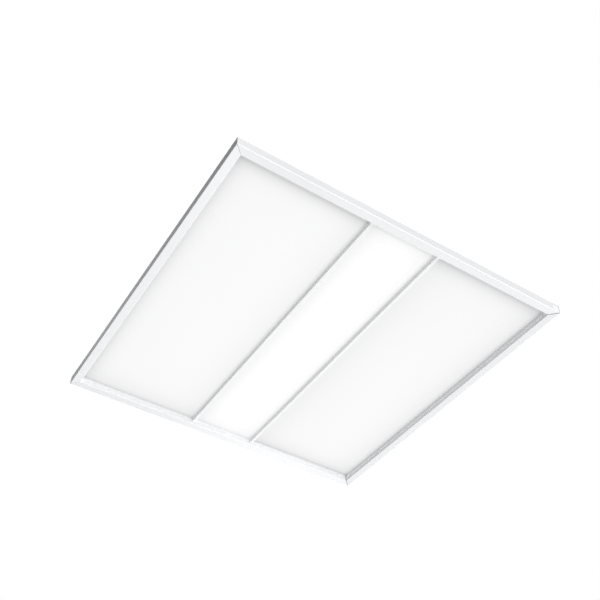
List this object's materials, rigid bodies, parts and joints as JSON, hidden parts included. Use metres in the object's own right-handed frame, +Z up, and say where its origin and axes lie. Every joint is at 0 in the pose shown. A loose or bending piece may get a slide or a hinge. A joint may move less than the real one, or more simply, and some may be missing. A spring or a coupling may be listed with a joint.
{
  "type": "surface mount troffer",
  "caption": "Square surface mounted ceiling light: folded housing and a hinged, mitred door with opal lenses parted by divider bars and held shut by slide bolts.",
  "frame": {"origin": "middle of the housing face that lies against the ceiling", "axes": "+Z up into the ceiling, +X across the divider bars, +Y from the hinge side to the slide bolt side"},
  "size_m": [0.6, 0.6, 0.06],
  "materials": {
    "white_aluminium": "satin powder coat",
    "opal_side": "opal, matt face, lit from behind",
    "opal_centre": "opal, matt face, lit from behind",
    "white_steel": "satin powder coat",
    "reflector_white": "matt white paint",
    "light_board": "white solder mask",
    "driver_case": "white paint",
    "terminal_plastic": "moulded",
    "bush_rubber": "matt",
    "seal_foam": "closed cell foam",
    "guide_nylon": "moulded nylon",
    "zinc_steel": "bright zinc plate",
    "spring_steel": "spring steel"
  },
  "bodies": {
    "housing": {"bolt_keeper_left": "zinc_steel", "bolt_keeper_right": "zinc_steel", "cable_bush": "bush_rubber", "centre_reflector": "reflector_white", "centre_reflector_posts": "zinc_steel", "door_seal": "seal_foam", "driver_screws": "zinc_steel", "end_plate_back": "white_steel", "end_plate_front": "white_steel", "hinge_pin_left": "zinc_steel", "hinge_pin_right": "zinc_steel", "hinge_plate_left": "zinc_steel", "hinge_plate_right": "zinc_steel", "housing_body": "white_steel", "led_driver": "driver_case", "light_board_centre_left": "light_board", "light_board_centre_right": "light_board", "light_board_left_inner": "light_board", "light_board_left_outer": "light_board", "light_board_right_inner": "light_board", "light_board_right_outer": "light_board", "reflector_screws": "zinc_steel", "side_reflector_left": "reflector_white", "side_reflector_posts": "zinc_steel", "side_reflector_right": "reflector_white", "terminal_block": "terminal_plastic"},
    "door": {"bolt_guide_left": "guide_nylon", "bolt_guide_right": "guide_nylon", "corner_key_back_left": "zinc_steel", "corner_key_back_right": "zinc_steel", "corner_key_front_left": "zinc_steel", "corner_key_front_right": "zinc_steel", "divider_bar_left": "white_aluminium", "divider_bar_right": "white_aluminium", "divider_screws": "zinc_steel", "frame_bar_back": "white_aluminium", "frame_bar_front": "white_aluminium", "frame_bar_left": "white_aluminium", "frame_bar_right": "white_aluminium", "hinge_clamp_screws": "zinc_steel", "hinge_leaf_left": "zinc_steel", "hinge_leaf_right": "zinc_steel", "lens_centre": "opal_centre", "lens_clips": "spring_steel", "lens_left": "opal_side", "lens_right": "opal_side"},
    "slide_bolt_left": {"slide_bolt_left": "zinc_steel"},
    "slide_bolt_right": {"slide_bolt_right": "zinc_steel"}
  },
  "joints": [
    {"name": "door_hinge", "type": "hinge", "parent": "housing", "child": "door", "pos_m": [0, -0.296, -0.0453], "axis": [-1, 0, 0], "range_deg": [0, 90]},
    {"name": "slide_bolt_left_travel", "type": "slide", "parent": "door", "child": "slide_bolt_left", "axis": [-1, 0, 0], "range_m": [0, 0.008]},
    {"name": "slide_bolt_right_travel", "type": "slide", "parent": "door", "child": "slide_bolt_right", "axis": [1, 0, 0], "range_m": [0, 0.008]}
  ]
}
